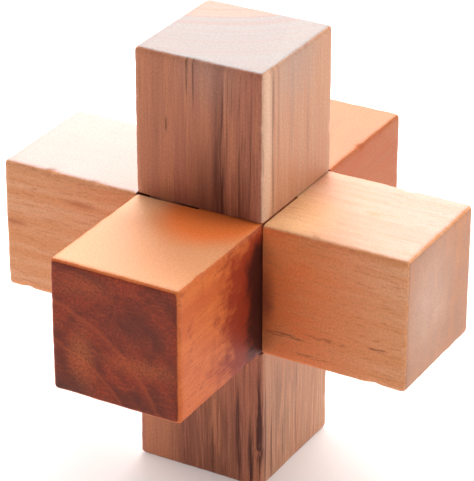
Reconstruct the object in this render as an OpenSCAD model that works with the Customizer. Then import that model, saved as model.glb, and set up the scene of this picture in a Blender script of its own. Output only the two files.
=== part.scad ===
// Three-piece wooden burr: three square sticks that cross at right angles at their middles.
// The key stick stands along Z and has a round neck. While it is square to the others it
// holds them shut; turned a quarter turn, it lets the pale stick lift out.
// Origin at the centre of the cross: pale stick along X, red stick along Y, key along Z.

/* [Sticks] */
// Side of each stick's square section
stick_w = 25; // [18:0.5:36]
// Length of each stick
stick_len = 80; // [64:1:140]

/* [Edges] */
// Radius of the rounded edges along each stick
long_edge_r = 1; // [0.4:0.1:2]
// Radius of the rounded edges round each end face
end_edge_r = 0.9; // [0.4:0.1:2]
// Radius of the rounded edges round the key's two shoulders
shoulder_edge_r = 0.7; // [0.2:0.1:1.5]
// Bevel on the edges where a notch opens on a stick's side
notch_bevel = 0.35; // [0.1:0.05:0.8]

/* [Fit] */
// Gap between two sticks at every face where they meet
fit_gap = 0.3; // [0.15:0.05:0.6]

/* [Hidden] */
$fn = 96;

half_w = stick_w / 2;
half_len = stick_len / 2;
// How far a cut runs past the surface that it opens through
overrun = 1;
// Every shoulder stands this far from the middle of its stick
shoulder_at = half_w + fit_gap;
// The faces that halve the sticks stand off the middle planes by this much
halving_at = fit_gap / 2;
// The neck stands in one quarter of the centre cube, on that quarter's middle line
neck_at = -stick_w / 4;
neck_r = stick_w / 4 - halving_at;
arm_len = half_len - shoulder_at;

// A rectangle from y = 0 to size_y, centred in x, with rounded corners
module rounded_rect(size_x, size_y, r) {
    translate([-size_x / 2 + r, 0])
        square([size_x - 2 * r, size_y]);
    translate([-size_x / 2, r])
        square([size_x, size_y - 2 * r]);
    for (x = [r - size_x / 2, size_x / 2 - r], y = [r, size_y - r])
        translate([x, y])
            circle(r = r);
}

// The side view of a bar from y = 0 to len, with its own rounding at each end
module bar_side(len, low_r, high_r) {
    intersection() {
        rounded_rect(stick_w, len + low_r + high_r, low_r);
        translate([0, -low_r - high_r])
            rounded_rect(stick_w, len + low_r + high_r, high_r);
    }
}

// The side view stretched across the bar, which runs along Z
module bar_side_slab(len, low_r, high_r) {
    rotate([90, 0, 0])
        linear_extrude(height = stick_w + 2 * overrun, center = true)
            bar_side(len, low_r, high_r);
}

// A square bar from z = 0 to len with every edge rounded
module eased_bar(len, low_r, high_r) {
    intersection() {
        linear_extrude(height = len)
            translate([0, -half_w])
                rounded_rect(stick_w, stick_w, long_edge_r);
        bar_side_slab(len, low_r, high_r);
        rotate([0, 0, 90])
            bar_side_slab(len, low_r, high_r);
    }
}

// Outline of a notch between x = left and x = right, cut up from y = -half_w to floor_y.
// Its mouth flares by the bevel.
module notch_outline(left, right, floor_y) {
    flare = notch_bevel + overrun;
    polygon([
        [left - flare, -half_w - overrun],
        [left, notch_bevel - half_w],
        [left, floor_y],
        [right, floor_y],
        [right, notch_bevel - half_w],
        [right + flare, -half_w - overrun],
    ]);
}

// Halves the stick from its -Y side, over the width of the stick and key that cross it
module halving_notch() {
    linear_extrude(height = stick_w + 2 * overrun, center = true)
        notch_outline(-shoulder_at, shoulder_at, halving_at);
}

// Halves what the halving notch leaves, from its -Z side, over the +X half of the crossing
module corner_notch() {
    translate([0, half_w + overrun, 0])
        rotate([90, 0, 0])
            linear_extrude(height = half_w + overrun)
                notch_outline(-halving_at, shoulder_at, halving_at);
}

// A stick along X with both its notches
module crossing_stick() {
    difference() {
        rotate([0, 90, 0])
            translate([0, 0, -half_len])
                eased_bar(stick_len, end_edge_r, end_edge_r);
        halving_notch();
        corner_notch();
    }
}

// One arm of the key, standing on its shoulder
module key_arm() {
    translate([0, 0, shoulder_at])
        eased_bar(arm_len, shoulder_edge_r, end_edge_r);
}

// The round neck runs a little way into both arms
module key_neck() {
    translate([neck_at, neck_at, 0])
        cylinder(r = neck_r, h = 2 * (shoulder_at + overrun), center = true);
}

module key_stick() {
    color("rosybrown") {
        key_arm();
        mirror([0, 0, 1])
            key_arm();
        key_neck();
    }
}

module pale_stick() {
    color("burlywood")
        crossing_stick();
}

// The red stick has the same shape, turned over and laid along Y
module red_stick() {
    color("chocolate")
        rotate([180, 0, 90])
            crossing_stick();
}

key_stick();
pale_stick();
red_stick();
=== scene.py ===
"""A wooden burr puzzle: a key stick and two crossing sticks, modelled around a fixed frame."""

import math
from types import SimpleNamespace

import bpy
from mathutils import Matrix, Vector


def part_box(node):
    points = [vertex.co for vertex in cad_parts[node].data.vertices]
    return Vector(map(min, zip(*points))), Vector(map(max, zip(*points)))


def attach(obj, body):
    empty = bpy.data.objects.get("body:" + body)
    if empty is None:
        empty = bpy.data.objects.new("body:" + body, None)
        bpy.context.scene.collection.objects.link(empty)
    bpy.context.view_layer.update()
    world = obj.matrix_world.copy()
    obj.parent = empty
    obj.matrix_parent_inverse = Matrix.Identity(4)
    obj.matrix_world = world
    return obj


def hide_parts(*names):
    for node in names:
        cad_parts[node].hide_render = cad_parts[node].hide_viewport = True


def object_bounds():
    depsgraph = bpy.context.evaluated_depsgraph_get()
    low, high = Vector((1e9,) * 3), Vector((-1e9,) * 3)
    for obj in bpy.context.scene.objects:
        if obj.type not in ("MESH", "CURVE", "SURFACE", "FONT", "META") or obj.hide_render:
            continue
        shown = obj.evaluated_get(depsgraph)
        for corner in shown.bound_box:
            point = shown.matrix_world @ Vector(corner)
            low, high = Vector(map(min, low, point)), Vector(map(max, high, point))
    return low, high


bl_info = {
    "name": "Wooden Burr",
    "version": (1, 0, 0),
    "blender": (4, 5, 0),
    "location": "View3D > Sidebar > Burr",
    "description": "Models a wooden burr puzzle with its woods and a studio stage",
    "category": "Add Mesh",
}

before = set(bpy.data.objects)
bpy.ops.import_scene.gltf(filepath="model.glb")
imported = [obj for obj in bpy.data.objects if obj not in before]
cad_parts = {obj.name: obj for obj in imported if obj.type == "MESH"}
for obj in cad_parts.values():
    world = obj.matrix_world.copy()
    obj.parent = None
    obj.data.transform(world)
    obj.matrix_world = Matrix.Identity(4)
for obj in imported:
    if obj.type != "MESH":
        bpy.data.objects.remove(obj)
FRAME_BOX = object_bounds()
KEY_LOW, KEY_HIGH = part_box("key_stick")
MM = 0.001

# Half a stick's side and half its length, in the millimetres that the woods are drawn in
HALF_SIDE = (KEY_HIGH.x - KEY_LOW.x) / 2 / MM
HALF_LENGTH = (KEY_HIGH.z - KEY_LOW.z) / 2 / MM


# ---------------------------------------------------------------- settings


def colour_setting(name, description, default):
    """A colour property, in the form that the woods and the floor use"""
    return bpy.props.FloatVectorProperty(
        name=name, description=description, default=default,
        subtype="COLOR", size=3, min=0.0, max=1.0)


class BurrSizes(bpy.types.PropertyGroup):
    """Sizes of the sticks and of the wear on them"""

    side: bpy.props.FloatProperty(
        name="Stick side", description="Side of each stick's square section",
        default=KEY_HIGH.x - KEY_LOW.x, unit="LENGTH", precision=4)
    length: bpy.props.FloatProperty(
        name="Stick length", description="Length of each stick",
        default=KEY_HIGH.z - KEY_LOW.z, unit="LENGTH", precision=4)
    fit_gap: bpy.props.FloatProperty(
        name="Fit gap", description="Gap between two sticks where they meet",
        default=0.12 * MM, unit="LENGTH", precision=5)
    lift_gap: bpy.props.FloatProperty(
        name="Lift gap", description="Gap between the key's arms and the sticks that they lock",
        default=0.25 * MM, unit="LENGTH", precision=5)
    edge_radius: bpy.props.FloatProperty(
        name="Edge radius", description="Rounding of the edges along a stick and round its ends",
        default=0.75 * MM, unit="LENGTH", precision=5)
    skin_step: bpy.props.FloatProperty(
        name="Surface step", description="Size of the faces that carry the sanded surface",
        default=0.36 * MM, unit="LENGTH", precision=5)
    edge_wear: bpy.props.FloatProperty(
        name="Edge wear", description="How deep sanding and handling have worn the edges",
        default=0.20 * MM, unit="LENGTH", precision=5)
    sanding_wave: bpy.props.FloatProperty(
        name="Sanding wave", description="Height of the shallow waves that hand sanding leaves",
        default=0.06 * MM, unit="LENGTH", precision=5)


class BurrWoods(bpy.types.PropertyGroup):
    """Colours of the three woods, and of the painted sheen, light and shade laid on them"""

    key_sap: colour_setting(
        "Key sapwood", "Light wood of the key stick", (0.61, 0.335, 0.200))
    key_cream: colour_setting(
        "Key outer sapwood", "Palest wood, at one corner", (0.74, 0.47, 0.32))
    key_warm: colour_setting(
        "Key warm wood", "Orange-brown wood of the key stick", (0.57, 0.225, 0.115))
    key_heart: colour_setting(
        "Key heartwood", "Brown wood of the key stick", (0.42, 0.150, 0.094))
    key_vein: colour_setting(
        "Key veins", "Dark veins of the key stick", (0.10, 0.032, 0.022))
    key_end: colour_setting(
        "Key end grain", "Ends of the key stick", (0.325, 0.295, 0.285))
    key_peach: colour_setting(
        "Key inner rings", "Inner rings on the key's ends", (0.46, 0.29, 0.21))
    pale_early: colour_setting(
        "Pale wood", "Early wood of the pale stick", (0.74, 0.365, 0.195))
    pale_late: colour_setting(
        "Pale wood grain", "Late wood of the pale stick", (0.68, 0.26, 0.095))
    pale_fleck: colour_setting(
        "Pale flecks", "Short flecks in the pale stick", (0.48, 0.14, 0.05))
    pale_crack: colour_setting(
        "Pale cracks", "Small cracks in the pale stick", (0.26, 0.075, 0.035))
    # Painted shade: saturated orange on the front of the near arm, growing towards the joint
    pale_front_shade: colour_setting(
        "Pale unfaded wood", "Pale wood beside the crossing", (0.76, 0.170, 0.043))
    # Painted shade: warm top beside the crossing, where the key blocks the light and its sheen
    pale_key_shade: colour_setting(
        "Pale honey wood", "Warmer top beside the crossing", (0.96, 0.56, 0.27))
    # Painted shadow: dark at the joint, on the front beside the red stick
    pale_joint_shadow: colour_setting(
        "Pale joint stain", "Dark stain at the joint", (0.22, 0.035, 0.016))
    pale_end: colour_setting(
        "Pale end grain", "Ends of the pale stick", (0.385, 0.187, 0.118))
    pale_bloom: colour_setting(
        "Pale end bloom", "Lighter middle of the pale ends", (0.60, 0.41, 0.33))
    # Painted sheen: a lighter top colour standing for the reflection of the bright surroundings
    pale_top_sheen: colour_setting(
        "Pale faded wood", "Pale wood that light has faded", (0.585, 0.435, 0.415))
    red_early: colour_setting(
        "Red wood", "Early wood of the red stick", (0.64, 0.16, 0.04))
    red_late: colour_setting(
        "Red wood grain", "Late wood of the red stick", (0.50, 0.085, 0.022))
    # Painted shade: the orange of the red top where the key blocks the light and its sheen
    red_key_shade: colour_setting(
        "Red unfaded wood", "Red wood that the key shades from the light", (0.86, 0.20, 0.045))
    # Painted shade: dark red in the inner corner beside the crossing
    red_corner_shade: colour_setting(
        "Red inner corner", "Dark red wood in the corner beside the crossing",
        (0.30, 0.035, 0.012))
    red_brown: colour_setting(
        "Red brown wood", "Browner wood of the far arm", (0.39, 0.130, 0.048))
    # Painted shade: nearly black, deepest in the inner corner, and the shadows on the front end
    red_deep_shade: colour_setting(
        "Red corner stain", "Nearly black stain at the joint", (0.025, 0.008, 0.007))
    red_end: colour_setting(
        "Red end grain", "Ends of the red stick", (0.32, 0.032, 0.007))
    red_dark: colour_setting(
        "Red end pores", "Pores in the ends of the red stick", (0.10, 0.011, 0.005))
    # Painted light: the top at the key's left, where light passes by the key
    red_painted_light: colour_setting(
        "Red palest wood", "Palest top of the red stick, at the key's left", (0.92, 0.50, 0.27))
    # Painted sheen: a lighter top colour standing for the reflection of the bright surroundings
    red_top_sheen: colour_setting(
        "Red faded wood", "Red wood that light has faded", (0.72, 0.33, 0.155))


class BurrStage(bpy.types.PropertyGroup):
    """Floor, lights and camera"""

    floor_colour: colour_setting("Floor", "Colour of the floor", (0.78, 0.78, 0.78))
    floor_glow: bpy.props.FloatProperty(
        name="Floor glow", description="Strength of the floor's own light", default=0.28)
    sky_colour: colour_setting(
        "Sky colour", "Colour of the even light from all round", (1.0, 0.98, 0.96))
    sky: bpy.props.FloatProperty(
        name="Sky", description="Strength of the even light from all round", default=0.15)
    back_light: bpy.props.FloatProperty(
        name="Back light", description="Power of the large light above and behind",
        default=8.8, unit="POWER")
    rim_light: bpy.props.FloatProperty(
        name="Rim light", description="Power of the low light behind, which sheens the tops",
        default=13.0, unit="POWER")
    left_light: bpy.props.FloatProperty(
        name="Left light", description="Power of the light on the left", default=16.0,
        unit="POWER")
    side_light: bpy.props.FloatProperty(
        name="Side light", description="Power of the light on the right", default=15.0,
        unit="POWER")
    fill_light: bpy.props.FloatProperty(
        name="Fill light", description="Power of the weak light from the left of the front",
        default=6.0, unit="POWER")
    view_turn: bpy.props.FloatProperty(
        name="View turn", description="How far the camera stands round to the right of the front",
        default=math.radians(29.6), subtype="ANGLE")
    view_rise: bpy.props.FloatProperty(
        name="View rise", description="How far the camera looks down",
        default=math.radians(27.3), subtype="ANGLE")
    view_distance: bpy.props.FloatProperty(
        name="View distance", description="Distance of the camera from the middle of the cross",
        default=0.465, unit="LENGTH")
    lens: bpy.props.FloatProperty(
        name="Lens", description="Focal length of the camera in millimetres", default=200.5)
    shift_x: bpy.props.FloatProperty(
        name="Shift X", description="Sideways shift of the picture", default=0.0057, precision=4)
    shift_y: bpy.props.FloatProperty(
        name="Shift Y", description="Upward shift of the picture", default=0.0095, precision=4)


# ---------------------------------------------------------------- shader kit


# The colour sockets of a Mix node, which shares their names with its other kinds
MIX_FACTOR = 0
MIX_UNDER = 6
MIX_OVER = 7


class Channel:
    """A value inside a material, with the arithmetic that the woods are written in"""

    def __init__(self, shader, socket):
        self.shader = shader
        self.socket = socket

    def combined(self, operation, first, second):
        return self.shader.node("ShaderNodeMath", {"operation": operation}, {0: first, 1: second})

    def __add__(self, other):
        return self.combined("ADD", self, other)

    def __radd__(self, other):
        return self.combined("ADD", other, self)

    def __sub__(self, other):
        return self.combined("SUBTRACT", self, other)

    def __rsub__(self, other):
        return self.combined("SUBTRACT", other, self)

    def __mul__(self, other):
        return self.combined("MULTIPLY", self, other)

    def __rmul__(self, other):
        return self.combined("MULTIPLY", other, self)

    def __truediv__(self, other):
        return self.combined("DIVIDE", self, other)

    def __rtruediv__(self, other):
        return self.combined("DIVIDE", other, self)

    def __abs__(self):
        return self.shader.node("ShaderNodeMath", {"operation": "ABSOLUTE"}, {0: self})

    def output(self, name):
        """Another output of the node that this value comes from"""
        return Channel(self.shader, self.socket.node.outputs[name])


class Shader:
    """A material that is built node by node"""

    def __init__(self, name):
        self.material = bpy.data.materials.new(name)
        self.material.use_nodes = True
        self.tree = self.material.node_tree
        self.tree.nodes.clear()

    def node(self, kind, settings, inputs):
        """Adds a node of this kind and returns its first output, if it has one"""
        made = self.tree.nodes.new(kind)
        for name, value in settings.items():
            setattr(made, name, value)
        for name, value in inputs.items():
            if isinstance(value, Channel):
                self.tree.links.new(value.socket, made.inputs[name])
            else:
                made.inputs[name].default_value = value
        outputs = [socket for socket in made.outputs if socket.enabled]
        return Channel(self, outputs[0]) if outputs else None

    def vector_maths(self, operation, *inputs):
        return self.node(
            "ShaderNodeVectorMath", {"operation": operation}, dict(enumerate(inputs)))

    def noise(self, vector, scale, detail=2.0, roughness=0.5, distortion=0.0):
        return self.node(
            "ShaderNodeTexNoise", {},
            {"Vector": vector, "Scale": scale, "Detail": detail, "Roughness": roughness,
             "Distortion": distortion})

    def turned(self, vector, rotation, scale=(1.0, 1.0, 1.0)):
        """The vector scaled along its axes and then turned"""
        return self.node(
            "ShaderNodeMapping", {"vector_type": "POINT"},
            {"Vector": vector, "Rotation": rotation, "Scale": scale})

    def ease(self, value, low, high):
        """0 at low, 1 at high, and smooth between them"""
        return self.node(
            "ShaderNodeMapRange", {"interpolation_type": "SMOOTHSTEP"},
            {"Value": value, "From Min": low, "From Max": high})

    def mix(self, factor, under, over, blend="MIX"):
        """Lays one colour over another, as strongly as the factor says"""
        return self.node(
            "ShaderNodeMix", {"data_type": "RGBA", "blend_type": blend, "clamp_factor": True},
            {MIX_FACTOR: factor, MIX_UNDER: under, MIX_OVER: over})

    def surface(self, inputs):
        """Closes the material with a surface that has these inputs, and returns the material"""
        skin = self.node("ShaderNodeBsdfPrincipled", {}, inputs)
        self.node("ShaderNodeOutputMaterial", {}, {"Surface": skin})
        return self.material


def opaque(colour):
    return (*colour, 1.0)


# ---------------------------------------------------------------- grain


# Each wood has axes of its own, the third of them along the stick. These turns bring the
# cross's axes onto them.
GRAIN_TURNS = {
    "key": (0.0, 0.0, 0.0),
    "pale": (0.0, -math.pi / 2, 0.0),
    "red": (math.pi / 2, 0.0, 0.0),
}

# Where the sides of a stick face, on its wood's own axes
SIDES = {
    "key": {"front": (0.0, -1.0, 0.0), "right": (1.0, 0.0, 0.0),
            "back": (0.0, 1.0, 0.0), "left": (-1.0, 0.0, 0.0)},
    "pale": {"front": (0.0, -1.0, 0.0), "top": (-1.0, 0.0, 0.0)},
    "red": {"top": (0.0, -1.0, 0.0), "right": (1.0, 0.0, 0.0)},
}
ACROSS = (1.0, 0.0, 0.0)
DOWN = (0.0, 1.0, 0.0)
ALONG = (0.0, 0.0, 1.0)


class Grain:
    """The coordinates of one stick's wood, in millimetres, with the grain along its third axis"""

    def __init__(self, shader, stick, pith, wander):
        self.shader = shader
        self.sides = SIDES[stick]
        turn = GRAIN_TURNS[stick]
        source = shader.node("ShaderNodeTexCoord", {}, {})
        self.place = shader.turned(source.output("Object"), turn, (1.0 / MM,) * 3)
        slow = shader.noise(self.stretched(self.place, (1.0, 1.0, 0.3)), 0.06, detail=1.0)
        drift = self.moved(slow.output("Color"), (-0.5, -0.5, -0.5))
        self.bent = shader.vector_maths(
            "MULTIPLY_ADD", drift, (wander, wander, 0.0), self.place)
        from_pith = self.stretched(
            self.moved(self.bent, (-pith[0], -pith[1], 0.0)), (1.0, 1.0, 0.0))
        self.depth = self.length(from_pith)
        self.normal = shader.turned(source.output("Normal"), turn)
        self.end_grain = shader.ease(abs(self.dot(self.normal, ALONG)), 0.80, 0.96)
        self.grit = shader.noise(self.place, 2.4, detail=4.0, roughness=0.7)

    def stretched(self, vector, scale):
        """The vector with each of its axes scaled"""
        return self.shader.vector_maths("MULTIPLY", vector, scale)

    def moved(self, vector, step):
        return self.shader.vector_maths("ADD", vector, step)

    def length(self, vector):
        return self.shader.vector_maths("LENGTH", vector).output("Value")

    def dot(self, vector, direction):
        return self.shader.vector_maths("DOT_PRODUCT", vector, direction).output("Value")

    def facing(self, side):
        """How much the surface looks to a side: 1 straight towards it, -1 away from it"""
        return self.dot(self.normal, self.sides[side])

    def reach(self, direction):
        """How far along a direction a point of the wood lies"""
        return self.dot(self.bent, direction)

    def fibres(self, across, along, detail=3.0, roughness=0.65):
        """Noise drawn out along the grain; across and along are lines per millimetre"""
        drawn_out = self.stretched(self.bent, (across, across, along))
        return self.shader.noise(drawn_out, 1.0, detail, roughness)

    def rings(self, spacing, detail):
        """Irregular bands that follow the growth rings"""
        return self.shader.node(
            "ShaderNodeTexNoise", {"noise_dimensions": "1D"},
            {"W": self.depth / spacing, "Scale": 1.0, "Detail": detail, "Roughness": 0.6})

    def near(self, centre, radii):
        """1 at a centre, 0 outside an ellipsoid round it"""
        away = self.stretched(
            self.moved(self.bent, tuple(-c for c in centre)),
            tuple(1.0 / radius for radius in radii))
        return self.shader.ease(self.length(away), 1.0, 0.0)

    def patch(self, side, across, along, width, length, depth):
        """1 at a place on one side of the stick, 0 outside an oval round it"""
        direction = self.sides[side]
        axis = 0 if direction[0] else 1
        centre = [across, across, along]
        radii = [width, width, length]
        centre[axis] = direction[axis] * HALF_SIDE
        radii[axis] = depth
        return self.near(centre, radii)

    def end_patch(self, way, place, radii, depth):
        """1 at a place on one end of the stick, 0 outside an oval round it"""
        return self.near((*place, way * HALF_LENGTH), (*radii, depth))

    def paint(self, colour, over, patches, depth, mask=None, edge=None):
        """Lays patches of a colour on the sides: (side, across, along, width, length, strength)"""
        for *shape, strength in patches:
            patch = self.patch(*shape, depth)
            if edge is not None:
                patch = self.shader.ease(patch, *edge)
            if mask is not None:
                patch = patch * mask
            colour = self.shader.mix(patch * strength, colour, over)
        return colour


def finish_wood(grain, colour, fibre, bump):
    """Closes a wood with its satin skin, grained by its fibres and by fine sanding"""
    shader = grain.shader
    grit = shader.ease(grain.grit, 0.35, 0.65)
    speckle = shader.mix(grit, (0.90, 0.88, 0.86, 1.0), (1.06, 1.06, 1.06, 1.0))
    relief = shader.node(
        "ShaderNodeBump", {},
        {"Strength": bump, "Distance": 0.1 * MM, "Height": fibre * 0.55 + grain.grit * 0.45})
    return shader.surface(
        {"Base Color": shader.mix(1.0, colour, speckle, "MULTIPLY"),
         "Roughness": 0.46 + fibre * 0.10, "Normal": relief, "Specular IOR Level": 0.2})


# ---------------------------------------------------------------- key wood


# The places below are in millimetres on a wood's own axes, and widths and lengths are half of
# what a patch covers. Each row is a side, a place across and along it, a width, a length and
# a strength.
KEY_VEINS_AND_LOWER_SHADE = (
    ("front", 4.4, 12.0, 2.4, 26.0, 0.7),
    ("front", 4.9, 20.0, 0.45, 26.0, 0.95),
    ("front", 5.9, 30.0, 0.3, 16.0, 0.5),
    ("front", 8.6, 14.0, 2.6, 12.0, 0.5),
    ("front", -2.2, 39.0, 0.35, 9.0, 0.7),
    ("front", -0.9, 38.0, 0.3, 10.0, 0.6),
    ("front", 8.2, 20.0, 0.3, 30.0, 0.6),
    ("front", 10.4, 26.0, 0.3, 24.0, 0.5),
    ("front", -6.2, 27.0, 0.25, 2.4, 0.7),
    ("front", 7.8, -30.0, 1.1, 16.0, 0.9),
    ("front", 10.2, -34.0, 0.9, 14.0, 1.0),
    ("front", 11.8, -28.0, 0.9, 18.0, 1.0),
    ("front", 2.5, -36.0, 0.6, 9.0, 0.6),
    # Painted shade over the front of the lower arm, below the crossing
    ("front", 1.0, -34.0, 11.0, 20.0, 0.5),
    ("right", -8.9, 28.0, 0.6, 28.0, 0.5),
    ("right", -7.2, 30.0, 0.6, 18.0, 0.25),
    ("right", -2.5, 30.0, 1.2, 14.0, 0.16),
    ("right", 3.5, 26.0, 1.0, 18.0, 0.14),
    ("right", -10.8, -30.0, 0.5, 16.0, 0.8),
    ("right", -8.6, -34.0, 0.4, 12.0, 0.7),
    ("right", -4.4, -32.0, 0.35, 12.0, 0.5),
    ("right", 0.5, -30.0, 0.6, 14.0, 0.4),
    ("right", -7.0, -30.0, 6.0, 22.0, 0.3),
    # Painted shade over the right of the lower arm, below the crossing
    ("right", 3.0, -30.0, 16.0, 24.0, 0.3),
    ("left", 3.0, 24.0, 0.6, 22.0, 0.7),
    ("left", -5.0, -26.0, 0.5, 16.0, 0.7),
    ("back", -3.0, 26.0, 0.6, 20.0, 0.7),
    ("back", -7.0, -28.0, 0.8, 16.0, 0.6),
)
KEY_SMOKE_AND_FOOT_SHADE = (
    ("front", 1.6, 13.0, 6.0, 19.0, 0.65),
    ("front", 9.0, 15.0, 4.5, 18.0, 0.3),
    ("front", 4.0, 24.0, 1.7, 36.0, 0.45),
    # Painted shade at the foot of the upper arm's front, beside the crossing
    ("front", -4.0, 12.5, 9.0, 5.5, 0.35),
)
# Distance from the pith, width and strength of the clearest growth lines on the ends
KEY_LINES = ((31.6, 0.5, 0.40), (34.6, 0.9, 0.14), (28.2, 0.5, 0.30))
# Where the middle of the tree was, across the stick
KEY_PITH = (-20.0, 34.0)
# How deep the patches of colour run into the wood
KEY_SMOKE_DEPTH = 5.0
KEY_VEIN_DEPTH = 4.5


def key_body(grain, woods, fine, sapwood):
    """Brown heartwood, the sapwood at its right, and a cream strip down the front corner"""
    shader = grain.shader
    warm_wood = opaque(woods.key_warm)
    broad = grain.fibres(0.35, 0.012, detail=2.0, roughness=0.5)
    warm = shader.ease(broad * 0.55 + fine * 0.45, 0.34, 0.66)
    brown = shader.mix(warm, opaque(woods.key_heart), warm_wood)
    sap = shader.mix(shader.ease(fine, 0.42, 0.68) * 0.7, opaque(woods.key_sap), warm_wood)
    colour = shader.mix(sapwood * 0.85, brown, sap)
    right = shader.ease(grain.facing("right"), 0.5, 0.8)
    corner = grain.near((HALF_SIDE, -HALF_SIDE, 26.0), (7.0, 4.0, 44.0))
    strip = shader.ease(corner, 0.0, 0.35)
    return shader.mix(right * strip * 0.8, colour, opaque(woods.key_cream))


def key_hairlines(grain, woods, colour, hair, sapwood):
    """Fine dark lines, more of them towards the right of the heartwood than elsewhere"""
    shader = grain.shader
    across = grain.reach(ACROSS)
    lined = 0.30 + shader.ease(across, 3.0, 7.0) * 0.22 - sapwood * 0.42
    lines = shader.ease(hair, 0.50, 0.68) * lined
    colour = shader.mix(lines, colour, opaque(woods.key_vein))
    return shader.mix(shader.ease(across, -3.0, -10.0) * 0.35, colour, opaque(woods.key_warm))


def key_clouds(grain, woods, colour):
    """Greyer near the top of the front and the right, smoky shadows round the dark veins, and
    painted shade at the foot of the front beside the crossing
    """
    shader = grain.shader
    grey = opaque(woods.key_end)
    top_front = grain.patch("front", 2.0, HALF_LENGTH, 9.0, 13.0, KEY_SMOKE_DEPTH)
    colour = shader.mix(top_front * 0.25, colour, grey)
    colour = grain.paint(colour, opaque(woods.key_vein), KEY_SMOKE_AND_FOOT_SHADE, KEY_SMOKE_DEPTH)
    top_right = grain.patch("right", -1.0, HALF_LENGTH, 12.0, 14.0, KEY_SMOKE_DEPTH)
    return shader.mix(top_right * 0.35, colour, grey)


def key_end_grain(grain, woods):
    """Greyish ends with faint rings and a warmer middle"""
    shader = grain.shader
    heart = opaque(woods.key_heart)
    bands = shader.ease(grain.rings(2.2, detail=3.0), 0.35, 0.70)
    end = shader.mix(bands * 0.16, opaque(woods.key_end), heart)
    inner = shader.ease(grain.depth, 32.2, 30.4)
    end = shader.mix(inner * 0.75, end, opaque(woods.key_peach))
    for distance, width, strength in KEY_LINES:
        line = shader.ease(abs(grain.depth - distance), width, 0.0)
        end = shader.mix(line * strength, end, heart)
    return end


def key_wood(woods):
    """Streaked brown wood: brown heartwood, lighter sapwood on one side, near-black veins"""
    shader = Shader("streaked_brown_wood")
    grain = Grain(shader, "key", KEY_PITH, 1.2)
    fine = grain.fibres(1.6, 0.04)
    hair = grain.fibres(5.0, 0.10)
    sapwood = shader.ease(grain.reach((1.0, 0.3, 0.0)) + fine * 1.6, 9.2, 10.2)
    broken = shader.ease(grain.fibres(2.6, 0.10, roughness=0.5), 0.34, 0.54)
    colour = key_body(grain, woods, fine, sapwood)
    colour = key_hairlines(grain, woods, colour, hair, sapwood)
    colour = key_clouds(grain, woods, colour)
    # Veins, and painted shade on the lower arm
    colour = grain.paint(
        colour, opaque(woods.key_vein), KEY_VEINS_AND_LOWER_SHADE, KEY_VEIN_DEPTH, mask=broken, edge=(0.0, 0.7))
    colour = shader.mix(grain.end_grain * 0.9, colour, key_end_grain(grain, woods))
    return finish_wood(grain, colour, hair, bump=0.35)


# ---------------------------------------------------------------- pale wood


# Rows as for the key's veins
PALE_CRACKS = (
    ("front", 7.8, 17.0, 0.8, 6.0, 0.7),
    ("front", 6.6, 25.0, 0.6, 6.0, 0.7),
    ("front", 5.6, 35.0, 0.5, 4.0, 0.7),
    ("front", 10.6, 22.0, 0.5, 5.0, 0.7),
)
PALE_MARKS = (
    ("front", -0.8, -38.5, 1.1, 5.0, 0.8),
    ("front", -7.5, -24.0, 0.9, 5.0, 0.8),
)
PALE_PITH = (-10.0, -75.0)
PALE_MARK_DEPTH = 3.0
PALE_END_DEPTH = 9.0


def pale_masks(grain):
    """Where the pale wood changes: its fibres, its far arm, its top and the front of its near arm,
    where shade is painted towards the joint
    """
    shader = grain.shader
    streaks = grain.fibres(1.3, 0.09)
    along = grain.reach(ALONG)
    far_arm = shader.ease(along, 12.0, -12.0)
    front = shader.ease(grain.facing("front"), 0.6, 0.9)
    from_joint = shader.ease(along, 42.0, 14.0) * (1.0 - far_arm)
    return SimpleNamespace(
        bands=grain.rings(3.0, detail=2.0),
        flecks=grain.fibres(3.0, 0.40),
        streaks=streaks,
        blotch=shader.ease(shader.noise(grain.place, 0.16, detail=3.0), 0.42, 0.64),
        far_arm=far_arm,
        top=shader.ease(grain.facing("top") + streaks * 0.3, 0.98, 1.08),
        shaded=front * from_joint)


def pale_body(grain, woods, masks):
    """Early and late wood, with painted shade, warmer and blotchy, on the front of the near arm"""
    shader = grain.shader
    late = opaque(woods.pale_late)
    soft = grain.fibres(0.5, 0.03, roughness=0.5)
    tone = shader.ease(masks.bands * 0.4 + soft * 0.6, 0.38, 0.62)
    colour = shader.mix(tone * 0.7, opaque(woods.pale_early), late)
    # Painted shade on the front of the near arm, saturated and blotchy towards the joint
    colour = shader.mix(masks.shaded * 0.9, colour, opaque(woods.pale_front_shade))
    return shader.mix(masks.shaded * masks.blotch * 0.35, colour, late)


def pale_top(grain, woods, colour, masks):
    """The top, with painted sheen that grows towards the ends and over the far arm, and warm
    painted shade beside the crossing where the key blocks the light
    """
    shader = grain.shader
    open_end = shader.ease(grain.reach((0.0, 0.6, 1.0)), 12.0, 40.0)
    # Painted sheen on the top, growing towards the ends and over the far arm
    sheened = masks.top * (0.12 + open_end * 0.40 + masks.far_arm * 0.71)
    colour = shader.mix(sheened, colour, opaque(woods.pale_top_sheen))
    # Painted shade: warm top beside the crossing, where the key blocks the light and its sheen
    shadowed = shader.ease(grain.patch("top", -8.0, 12.5, 18.0, 16.0, 6.0), 0.0, 0.8)
    return shader.mix(masks.top * shadowed * 0.7, colour, opaque(woods.pale_key_shade))


def pale_figure(grain, woods, colour, masks):
    """Streaks and short flecks, faint under the painted sheen on the top and the painted shade on
    the front
    """
    shader = grain.shader
    plain = 1.0 - masks.top * (0.5 + masks.far_arm * 0.4) - masks.shaded * 0.35
    streaks = shader.ease(masks.streaks, 0.48, 0.66) * 0.45
    colour = shader.mix(streaks * plain, colour, opaque(woods.pale_late))
    flecks = shader.ease(masks.flecks, 0.52, 0.68) * 0.48
    return shader.mix(flecks * plain, colour, opaque(woods.pale_fleck))


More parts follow.
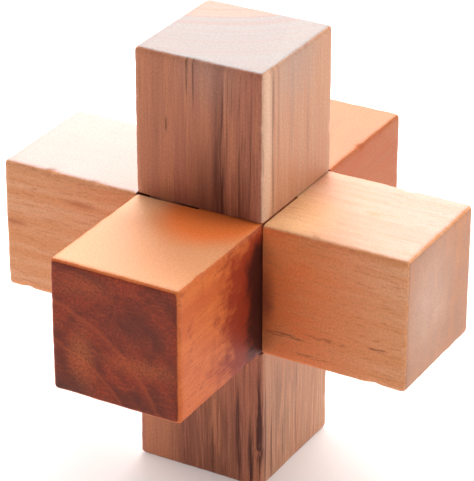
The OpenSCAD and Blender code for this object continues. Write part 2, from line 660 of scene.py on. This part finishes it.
def pale_marks(grain, woods, colour, masks):
    """Small cracks, two dark marks, a knot on the top and a painted shadow at the joint"""
    shader = grain.shader
    ragged = shader.ease(masks.flecks, 0.44, 0.58)
    colour = grain.paint(
        colour, opaque(woods.pale_crack), PALE_CRACKS, PALE_MARK_DEPTH, mask=ragged,
        edge=(0.05, 0.6))
    colour = grain.paint(colour, opaque(woods.pale_fleck), PALE_MARKS, PALE_MARK_DEPTH)
    knot = grain.patch("top", 0.5, 27.0, 1.6, 2.6, 2.0)
    colour = shader.mix(knot * 0.55, colour, opaque(woods.pale_late))
    # Painted shadow at the joint, on the front beside the red stick
    shadow_patch = grain.patch("front", 1.0, 12.5, 13.5, 5.0, PALE_MARK_DEPTH)
    joint = shadow_patch + masks.blotch * 0.3 - 0.15
    return shader.mix(shader.ease(joint, 0.05, 1.0) * 0.8, colour, opaque(woods.pale_joint_shadow))


def pale_end_grain(grain, woods, masks):
    """Ends with a lighter bloom in the middle and a warmer side"""
    shader = grain.shader
    late = opaque(woods.pale_late)
    cloud = shader.noise(grain.place, 0.22, detail=4.0, roughness=0.6)
    bloom = grain.end_patch(1, (-1.5, -3.5), (16.0, 13.0), PALE_END_DEPTH)
    warm_side = grain.end_patch(1, (-11.0, 9.0), (20.0, 11.0), PALE_END_DEPTH)
    end = shader.mix(shader.ease(cloud, 0.38, 0.66) * 0.18, opaque(woods.pale_end), late)
    end = shader.mix(warm_side * (0.10 + cloud * 0.25), end, late)
    end = shader.mix(shader.ease(masks.bands, 0.45, 0.62) * 0.15, end, late)
    return shader.mix(bloom * (0.12 + cloud * 0.8), end, opaque(woods.pale_bloom))


def pale_wood(woods):
    """Pale wood with short flecks and a few darker growth lines"""
    shader = Shader("pale_wood")
    grain = Grain(shader, "pale", PALE_PITH, 1.6)
    masks = pale_masks(grain)
    colour = pale_body(grain, woods, masks)
    colour = pale_top(grain, woods, colour, masks)
    colour = pale_figure(grain, woods, colour, masks)
    colour = pale_marks(grain, woods, colour, masks)
    colour = shader.mix(grain.end_grain * 0.9, colour, pale_end_grain(grain, woods, masks))
    return finish_wood(grain, colour, masks.flecks, bump=0.35)


# ---------------------------------------------------------------- red wood


# Lighter flames and dark shadows on the front end: place, half-sizes and strength
RED_FLAMES = (
    ((-6.0, 5.0), (4.0, 9.0), 0.50),
    ((-6.0, -9.0), (8.0, 3.5), 0.25),
    ((6.0, 3.5), (11.0, 3.0), 0.35),
)
RED_SHADOWS = (
    ((-13.0, 13.0), (14.0, 9.0), 1.0),
    ((4.0, -3.0), (11.0, 6.0), 0.4),
    ((6.0, 10.0), (9.0, 4.0), 0.35),
)
# Rows as for the key's growth lines
RED_LINES = ((33.0, 0.8, 0.25), (26.5, 0.6, 0.25))
RED_PITH = (-20.0, 26.0)
RED_END_DEPTH = 6.0
# The slant of the rays on the ends
RAY_TURN = (0.0, 0.0, math.radians(38.0))


def red_masks(grain):
    """What the red wood's colours follow: its rings, clouds and fibres, and its far arm"""
    shader = grain.shader
    drawn_out = grain.stretched(grain.place, (1.0, 1.0, 0.5))
    along = grain.reach(ALONG)
    return SimpleNamespace(
        bands=grain.rings(3.4, detail=3.0),
        cloud=shader.noise(drawn_out, 0.13, detail=4.0, roughness=0.6, distortion=1.2),
        fine=grain.fibres(2.6, 0.14),
        along=along,
        far_arm=shader.ease(along, -10.0, 14.0))


def red_body(grain, woods, masks):
    """Early and late wood in soft clouds, browner and more figured on the far arm"""
    shader = grain.shader
    late = opaque(woods.red_late)
    tone = shader.ease(masks.bands * 0.35 + masks.cloud * 0.65, 0.38, 0.64)
    colour = shader.mix(tone * 0.6, opaque(woods.red_early), late)
    colour = shader.mix(shader.ease(masks.fine, 0.50, 0.70) * 0.4, colour, late)
    colour = shader.mix(masks.far_arm * 0.75, colour, opaque(woods.red_brown))
    figure = shader.ease(masks.fine * 0.6 + masks.cloud * 0.4, 0.46, 0.60)
    return shader.mix(figure * masks.far_arm * 0.35, colour, late)


def red_top(grain, woods, colour, masks):
    """The top, with painted sheen that is weaker on the far arm, painted light at the key's left,
    and painted shade, still orange, where the key blocks the light
    """
    shader = grain.shader
    top = shader.ease(grain.facing("top") + masks.fine * 0.3, 0.98, 1.08)
    # Painted sheen: the top lightened as if it reflected the bright surroundings, less on the far
    # arm
    colour = shader.mix(top * (0.9 - masks.far_arm * 0.55), colour, opaque(woods.red_top_sheen))
    # Painted light on the top at the key's left, where light passes by the key
    palest = grain.patch("top", -10.0, -13.0, 13.0, 10.0, 5.0)
    colour = shader.mix(top * palest * 0.9, colour, opaque(woods.red_painted_light))
    # Painted shade: saturated orange on the top in front of the key, where the key blocks the
    # light and its sheen
    by_key = grain.patch("top", 4.0, -12.5, 15.0, 18.0, 5.0)
    shade = shader.ease(by_key + masks.cloud * 0.15, 0.1, 0.7)
    return shader.mix(top * shade, colour, opaque(woods.red_key_shade))


def paint_red_corner_shade(grain, woods, colour, masks):
    """Painted shade on the right side beside the crossing: ragged dark red, nearly black in the
    corner
    """
    shader = grain.shader
    near_arm = shader.ease(masks.along, -8.0, -11.0)
    right = shader.ease(grain.facing("right"), 0.5, 0.8) * near_arm
    down = grain.reach(DOWN)
    band = shader.ease(down, -12.5, -5.0) * (1.0 - shader.ease(down, 8.0, 13.0) * 0.5)
    rough = shader.noise(grain.place, 0.32, detail=4.0, roughness=0.65)
    ragged = rough * 1.4 + masks.fine * 0.5 - 0.95
    deep = shader.ease(masks.along, -33.0, -13.0) * (0.45 + band * 0.55) + ragged
    # Painted shade: dark red over the inner corner beside the crossing
    corner_shade = right * shader.ease(deep, 0.02, 0.62)
    colour = shader.mix(corner_shade, colour, opaque(woods.red_corner_shade))
    nearly_black = shader.ease(masks.along, -20.5, -13.0) * band + ragged
    # Painted shade, nearly black, deepest in the corner
    shadowing = right * shader.ease(nearly_black, 0.10, 0.70)
    return shader.mix(shadowing * 0.85, colour, opaque(woods.red_deep_shade))


def red_end_grain(grain, woods, masks):
    """Dark blotchy ends with slanting rays, lighter flames, pores and two growth lines"""
    shader = grain.shader
    late = opaque(woods.red_late)
    dark = opaque(woods.red_dark)
    mottle = shader.ease(masks.bands * 0.3 + masks.cloud * 0.7, 0.36, 0.62)
    end = shader.mix(mottle * 0.85, opaque(woods.red_end), dark)
    slanted = shader.turned(grain.place, RAY_TURN, (0.30, 2.0, 0.5))
    rays = shader.noise(slanted, 1.0, detail=3.0, roughness=0.6)
    end = shader.mix(shader.ease(rays, 0.48, 0.70) * 0.3, end, late)
    for place, radii, strength in RED_FLAMES:
        flame = grain.end_patch(-1, place, radii, RED_END_DEPTH) * (0.4 + masks.cloud * 1.2)
        end = shader.mix(flame * strength, end, opaque(woods.red_early))
    pores = shader.noise(grain.place, 2.2, detail=3.0, roughness=0.7)
    end = shader.mix(shader.ease(pores, 0.42, 0.60) * 0.6, end, dark)
    for place, radii, strength in RED_SHADOWS:
        shadow = grain.end_patch(-1, place, radii, RED_END_DEPTH)
        end = shader.mix(shadow * strength, end, opaque(woods.red_deep_shade))
    for distance, width, strength in RED_LINES:
        line = shader.ease(abs(grain.depth - distance + masks.cloud * 2.0), width, 0.0)
        end = shader.mix(line * strength, end, late)
    return end


def red_wood(woods):
    """Reddish close-grained wood, cloudy on its faces and dark on its ends"""
    shader = Shader("red_wood")
    grain = Grain(shader, "red", RED_PITH, 3.0)
    masks = red_masks(grain)
    colour = red_body(grain, woods, masks)
    colour = red_top(grain, woods, colour, masks)
    colour = paint_red_corner_shade(grain, woods, colour, masks)
    colour = shader.mix(grain.end_grain * 0.95, colour, red_end_grain(grain, woods, masks))
    return finish_wood(grain, colour, masks.fine, bump=0.3)


# ---------------------------------------------------------------- modelling kit


# How far a cutter runs past the surface that it opens through
OVERRUN = 2 * MM
# An arm is first made this much too long inwards, and its shoulder is then cut clean
SHOULDER_SPARE = 4 * MM
# How far from an edge its wear runs
WEAR_REACH = 1.8 * MM
# How steeply the wear grows towards an edge
WEAR_GAIN = 1.6
# Sizes of the unevenness of worn edges and of the waves on the faces
WEAR_SIZE = 2.6 * MM
WAVE_SIZE = 11.0 * MM
EDGE_SEGMENTS = 5
SMOOTH_ANGLE = math.radians(40.0)
NECK_SIDES = 96


def nothing_selected():
    if bpy.context.object and bpy.context.object.mode != "OBJECT":
        bpy.ops.object.mode_set(mode="OBJECT")
    bpy.ops.object.select_all(action="DESELECT")


def pick(piece):
    """Makes a piece the only one that the next operator acts on"""
    nothing_selected()
    piece.select_set(True)
    bpy.context.view_layer.objects.active = piece


def settle(piece):
    """Moves a piece's place, turn and size into its mesh"""
    pick(piece)
    bpy.ops.object.transform_apply(location=True, rotation=True, scale=True)


def add_block(name, low, high):
    """A block between two corners, with its place in its mesh"""
    nothing_selected()
    low = Vector(low)
    high = Vector(high)
    bpy.ops.mesh.primitive_cube_add(size=1.0, location=(low + high) / 2, scale=high - low)
    block = bpy.context.object
    block.name = name
    settle(block)
    return block


def round_edges(piece, radius):
    """Rounds all the edges of a block"""
    pick(piece)
    bpy.ops.object.mode_set(mode="EDIT")
    bpy.ops.mesh.select_all(action="SELECT")
    bpy.ops.mesh.bevel(offset=radius, segments=EDGE_SEGMENTS, affect="EDGES")
    bpy.ops.object.mode_set(mode="OBJECT")


def apply_modifier(piece, kind, **settings):
    pick(piece)
    modifier = piece.modifiers.new(kind.lower(), kind)
    for name, value in settings.items():
        setattr(modifier, name, value)
    bpy.ops.object.modifier_apply(modifier=modifier.name)


def carve(piece, other, operation):
    """Cuts another solid out of a piece or melts it in, and throws the other away"""
    apply_modifier(piece, "BOOLEAN", operation=operation, object=other, solver="EXACT")
    bpy.data.objects.remove(other)


def wave_texture(name, size, depth):
    texture = bpy.data.textures.new(name, "CLOUDS")
    texture.noise_scale = size
    texture.noise_depth = depth
    return texture


def edge_nearness(point, sizes):
    """1 on the outer edges of a stick, 0 away from them and inside the crossing"""
    half = sizes.side / 2
    depths = sorted(min(abs(half - abs(c)), abs(sizes.length / 2 - abs(c))) for c in point)
    return max(0.0, 1.0 - math.hypot(depths[0], depths[1]) / WEAR_REACH)


def mark_edges(piece, sizes):
    """A vertex group that is strongest along the outer edges"""
    worn = piece.vertex_groups.new(name="worn_edges")
    for point in piece.data.vertices:
        nearness = edge_nearness(point.co, sizes)
        if nearness > 0.0:
            worn.add([point.index], min(1.0, WEAR_GAIN * nearness), "REPLACE")
    return worn


def sand(piece, sizes):
    """Gives a piece a fine even skin, wears its outer edges and leaves shallow waves"""
    apply_modifier(piece, "REMESH", mode="VOXEL", voxel_size=sizes.skin_step)
    worn = mark_edges(piece, sizes)
    apply_modifier(piece, "SMOOTH", factor=0.5, iterations=6, vertex_group=worn.name)
    apply_modifier(
        piece, "DISPLACE", texture=wave_texture("wear", WEAR_SIZE, 3), texture_coords="LOCAL",
        strength=-sizes.edge_wear, mid_level=0.35, vertex_group=worn.name)
    apply_modifier(
        piece, "DISPLACE", texture=wave_texture("waves", WAVE_SIZE, 1), texture_coords="LOCAL",
        strength=sizes.sanding_wave, mid_level=0.5)
    piece.vertex_groups.clear()
    # Three-cornered faces can't bend, so the cuts that follow leave no slivers along their rims
    apply_modifier(piece, "TRIANGULATE")


def select_nearest(piece, target):
    """Selects only the one point of a mesh that is nearest to a place"""
    pick(piece)
    bpy.ops.object.mode_set(mode="EDIT")
    bpy.ops.mesh.select_mode(type="VERT")
    bpy.ops.mesh.select_all(action="DESELECT")
    bpy.ops.object.mode_set(mode="OBJECT")
    nearest = min(piece.data.vertices, key=lambda point: (point.co - target).length_squared)
    nearest.select = True


def nick(piece, place, depth, width):
    """Presses a small dent towards the middle of the stick, into the edge nearest to place"""
    target = Vector(place)
    select_nearest(piece, target)
    inwards = -target
    stick_axis = max(range(3), key=lambda axis: abs(target[axis]))
    inwards[stick_axis] = 0.0
    bpy.ops.object.mode_set(mode="EDIT")
    bpy.ops.transform.translate(
        value=inwards.normalized() * depth, use_proportional_edit=True,
        proportional_edit_falloff="SMOOTH", proportional_size=width)
    bpy.ops.object.mode_set(mode="OBJECT")


def hand_over(piece, material, body, node):
    """Finishes a piece: smooth shading, its wood, and its place in the frame"""
    pick(piece)
    bpy.ops.object.shade_smooth_by_angle(angle=SMOOTH_ANGLE)
    piece.data.materials.clear()
    piece.data.materials.append(material)
    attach(piece, body)
    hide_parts(node)


# ---------------------------------------------------------------- sticks


# Dents in the edges, in millimetres: a place along the stick, the signs of the two sides that
# meet there, a depth and a width
UPPER_NICKS = ((11.6, -1, -1, 0.45, 3.2), (30, 1, -1, 0.25, 1.6), (21, 1, 1, 0.2, 1.8))
LOWER_NICKS = ((-33, 1, -1, 0.3, 1.6), (-24, -1, 1, 0.3, 1.6))
PALE_NICKS = (
    (-30, -1, 1, 0.35, 1.5), (-21, -1, 1, 0.25, 1.2), (22, -1, 1, 0.28, 1.3),
    (34, -1, -1, 0.25, 2.0), (-36, -1, -1, 0.25, 1.6), (28, 1, 1, 0.25, 1.6))
RED_NICKS = (
    (-33, 1, -1, 0.25, 1.6), (-18, 1, 1, 0.2, 1.4), (30, -1, -1, 0.3, 1.6),
    (24, 1, -1, 0.25, 1.4))


def key_arm(sizes, way, nicks):
    """A worn square arm of the key, from its shoulder up, or down where way is -1"""
    half = sizes.side / 2
    past = half + OVERRUN
    shoulder = half + sizes.lift_gap
    low, high = sorted((way * (shoulder - SHOULDER_SPARE), way * sizes.length / 2))
    arm = add_block("key_stick_wood", (-half, -half, low), (half, half, high))
    round_edges(arm, sizes.edge_radius)
    sand(arm, sizes)
    for along, across, back, depth, width in nicks:
        nick(arm, (across * half, back * half, along * MM), depth * MM, width * MM)
    cutter = add_block("cutter", (-past, -past, -shoulder), (past, past, shoulder))
    carve(arm, cutter, "DIFFERENCE")
    return arm


def key_neck(sizes):
    """The round neck, in one quarter of the key's section, a little way into both arms"""
    quarter = sizes.side / 4
    nothing_selected()
    bpy.ops.mesh.primitive_cylinder_add(
        vertices=NECK_SIDES, radius=quarter - sizes.fit_gap,
        depth=sizes.side + 4 * sizes.lift_gap, location=(-quarter, -quarter, 0.0))
    neck = bpy.context.object
    settle(neck)
    return neck


def crossing_stick(name, sizes, nicks):
    """A worn stick along X, halved from -Y over the crossing, with a corner notch from -Z"""
    half = sizes.side / 2
    reach = sizes.length / 2
    shoulder = half + sizes.fit_gap
    halving = sizes.fit_gap / 2
    past = half + OVERRUN
    stick = add_block(name, (-reach, -half, -half), (reach, half, half))
    round_edges(stick, sizes.edge_radius)
    sand(stick, sizes)
    for along, across, up, depth, width in nicks:
        nick(stick, (along * MM, across * half, up * half), depth * MM, width * MM)
    halving_cutter = add_block("cutter", (-shoulder, -past, -past), (shoulder, halving, past))
    carve(stick, halving_cutter, "DIFFERENCE")
    corner_cutter = add_block("cutter", (-halving, 0.0, -past), (shoulder, past, halving))
    carve(stick, corner_cutter, "DIFFERENCE")
    return stick


class BURR_OT_key_stick(bpy.types.Operator):
    """Models the key stick: two square arms on a round neck that stands off-centre"""

    bl_idname = "burr.key_stick"
    bl_label = "Key stick"

    def execute(self, context):
        sizes = context.scene.burr_sizes
        key = key_arm(sizes, 1, UPPER_NICKS)
        lower = key_arm(sizes, -1, LOWER_NICKS)
        carve(key, key_neck(sizes), "UNION")
        carve(key, lower, "UNION")
        hand_over(key, key_wood(context.scene.burr_woods), "key", "key_stick")
        return {"FINISHED"}


class BURR_OT_crossing_sticks(bpy.types.Operator):
    """Models the pale and the red stick, which have one shape"""

    bl_idname = "burr.crossing_sticks"
    bl_label = "Crossing sticks"

    def execute(self, context):
        sizes = context.scene.burr_sizes
        woods = context.scene.burr_woods
        pale = crossing_stick("pale_stick_wood", sizes, PALE_NICKS)
        hand_over(pale, pale_wood(woods), "pale", "pale_stick")
        red = crossing_stick("red_stick_wood", sizes, RED_NICKS)
        # Turned over and laid along Y
        red.rotation_euler = (math.pi, 0.0, math.pi / 2)
        settle(red)
        hand_over(red, red_wood(woods), "red", "red_stick")
        return {"FINISHED"}


# ---------------------------------------------------------------- stage


# Panel lights round the cross, all aimed at its middle: name, place, width, height, and the
# setting that holds the power
PANEL_LIGHTS = (
    ("back_panel", (-0.05, 0.40, 0.95), 1.0, 0.8, "back_light"),
    ("rim_panel", (-0.36, 0.72, 0.62), 0.7, 0.5, "rim_light"),
    ("left_panel", (-1.70, 0.40, 1.00), 1.2, 1.2, "left_light"),
    ("side_panel", (1.40, 0.70, 0.70), 1.2, 1.2, "side_light"),
    ("fill_panel", (-0.55, -1.10, 1.00), 1.0, 1.0, "fill_light"),
)
FLOOR_SIZE = 6.0
SENSOR_WIDTH = 36.0
NEAREST_SEEN = 0.01


def aim_at_middle(thing):
    """Turns a light or a camera towards the middle of the cross"""
    thing.rotation_euler = (-thing.location).to_track_quat("-Z", "Y").to_euler()


def add_floor(stage):
    nothing_selected()
    bpy.ops.mesh.primitive_plane_add(size=FLOOR_SIZE, location=(0.0, 0.0, FRAME_BOX[0][2]))
    floor = bpy.context.object
    floor.name = "floor"
    colour = opaque(stage.floor_colour)
    floor.data.materials.append(Shader("floor_paper").surface(
        {"Base Color": colour, "Roughness": 0.9,
         "Emission Color": colour, "Emission Strength": stage.floor_glow}))


def add_sky(scene, stage):
    """Even light from all round"""
    scene.world = bpy.data.worlds.new("studio")
    scene.world.use_nodes = True
    background = scene.world.node_tree.nodes["Background"]
    background.inputs["Color"].default_value = opaque(stage.sky_colour)
    background.inputs["Strength"].default_value = stage.sky


def add_panel_light(name, place, width, height, power):
    nothing_selected()
    bpy.ops.object.light_add(type="AREA", location=place)
    light = bpy.context.object
    light.name = name
    light.data.shape = "RECTANGLE"
    light.data.size = width
    light.data.size_y = height
    light.data.energy = power
    aim_at_middle(light)


def add_camera(scene, stage):
    """A camera on a sphere round the middle of the cross"""
    turn, rise = stage.view_turn, stage.view_rise
    away = Vector((
        math.sin(turn) * math.cos(rise), -math.cos(turn) * math.cos(rise), math.sin(rise)))
    nothing_selected()
    bpy.ops.object.camera_add(location=away * stage.view_distance)
    camera = bpy.context.object
    aim_at_middle(camera)
    camera.data.sensor_fit = "HORIZONTAL"
    camera.data.sensor_width = SENSOR_WIDTH
    camera.data.lens = stage.lens
    camera.data.shift_x = stage.shift_x
    camera.data.shift_y = stage.shift_y
    camera.data.clip_start = NEAREST_SEEN
    scene.camera = camera


class BURR_OT_stage(bpy.types.Operator):
    """Sets up a pale floor, soft studio light and the camera"""

    bl_idname = "burr.stage"
    bl_label = "Stage"

    def execute(self, context):
        scene = context.scene
        stage = scene.burr_stage
        add_floor(stage)
        add_sky(scene, stage)
        for name, place, width, height, power in PANEL_LIGHTS:
            add_panel_light(name, place, width, height, getattr(stage, power))
        add_camera(scene, stage)
        scene.view_settings.view_transform = "Standard"
        return {"FINISHED"}


# ---------------------------------------------------------------- add-on


GROUPS = {"burr_sizes": BurrSizes, "burr_woods": BurrWoods, "burr_stage": BurrStage}
STEPS = (BURR_OT_key_stick, BURR_OT_crossing_sticks, BURR_OT_stage)


class BURR_PT_sidebar(bpy.types.Panel):
    """Lists the pieces and their settings"""

    bl_idname = "BURR_PT_sidebar"
    bl_label = "Wooden burr"
    bl_space_type = "VIEW_3D"
    bl_region_type = "UI"
    bl_category = "Burr"

    def draw(self, context):
        layout = self.layout
        for step in STEPS:
            layout.operator(step.bl_idname)
        for group_name, group in GROUPS.items():
            box = layout.box()
            for name in group.__annotations__:
                box.prop(getattr(context.scene, group_name), name)


CLASSES = (*GROUPS.values(), *STEPS, BURR_PT_sidebar)


def register():
    for cls in CLASSES:
        bpy.utils.register_class(cls)
    for name, group in GROUPS.items():
        setattr(bpy.types.Scene, name, bpy.props.PointerProperty(type=group))


def unregister():
    for name in GROUPS:
        delattr(bpy.types.Scene, name)
    for cls in reversed(CLASSES):
        bpy.utils.unregister_class(cls)


def main():
    register()
    bpy.ops.burr.key_stick()
    bpy.ops.burr.crossing_sticks()
    bpy.ops.burr.stage()


if __name__ == "__main__":
    main()
